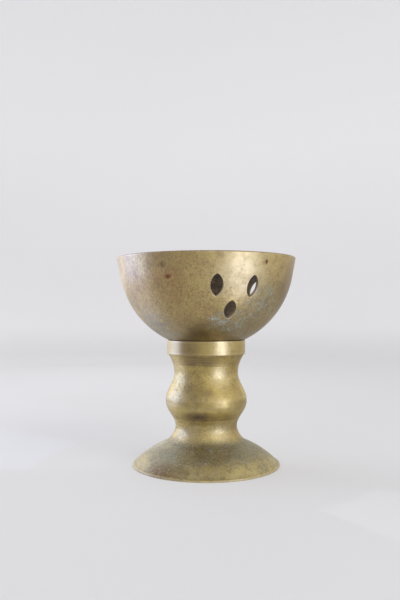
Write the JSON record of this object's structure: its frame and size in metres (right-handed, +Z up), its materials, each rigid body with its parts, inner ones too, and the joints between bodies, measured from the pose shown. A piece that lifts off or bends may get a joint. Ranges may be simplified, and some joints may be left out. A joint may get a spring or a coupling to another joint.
{
  "type": "incense burner",
  "caption": "Open round bowl with pointed-oval vents in its wall, screwed onto a turned stem with a collar, a round swelling and a domed foot, all in aged brass.",
  "frame": {"origin": "centre of the flat ring that the foot stands on", "axes": "+Z up along the axis of the bowl and the stem, -Y towards the side that the reference view shows, +X to that view's right"},
  "size_m": [0.089, 0.089, 0.1026],
  "materials": {
    "pedestal": "turned brass with brown and grey-green tarnish",
    "bowl": "worn brass, polished near the rim, brown and grey-green below",
    "stud": "threaded brass",
    "washer": "flat stamped brass",
    "lock_nut": "machined brass"
  },
  "bodies": {
    "pedestal": {"pedestal": "pedestal"},
    "washer": {"washer": "washer"},
    "bowl": {"bowl": "bowl", "stud": "stud", "lock_nut": "lock_nut"}
  },
  "joints": [
    {"name": "bowl_turn", "type": "hinge", "parent": "washer", "child": "bowl", "pos_m": [0, 0, 0.0613], "axis": [0, 0, 1], "range_deg": [0, 2160]},
    {"name": "bowl_rise", "type": "slide", "parent": "pedestal", "child": "washer", "axis": [0, 0, 1], "range_m": [0, 0.0075]}
  ],
  "couplings": [
    {"joint": "bowl_rise", "follows": "bowl_turn", "m_per_rad": 0.00019894}
  ]
}
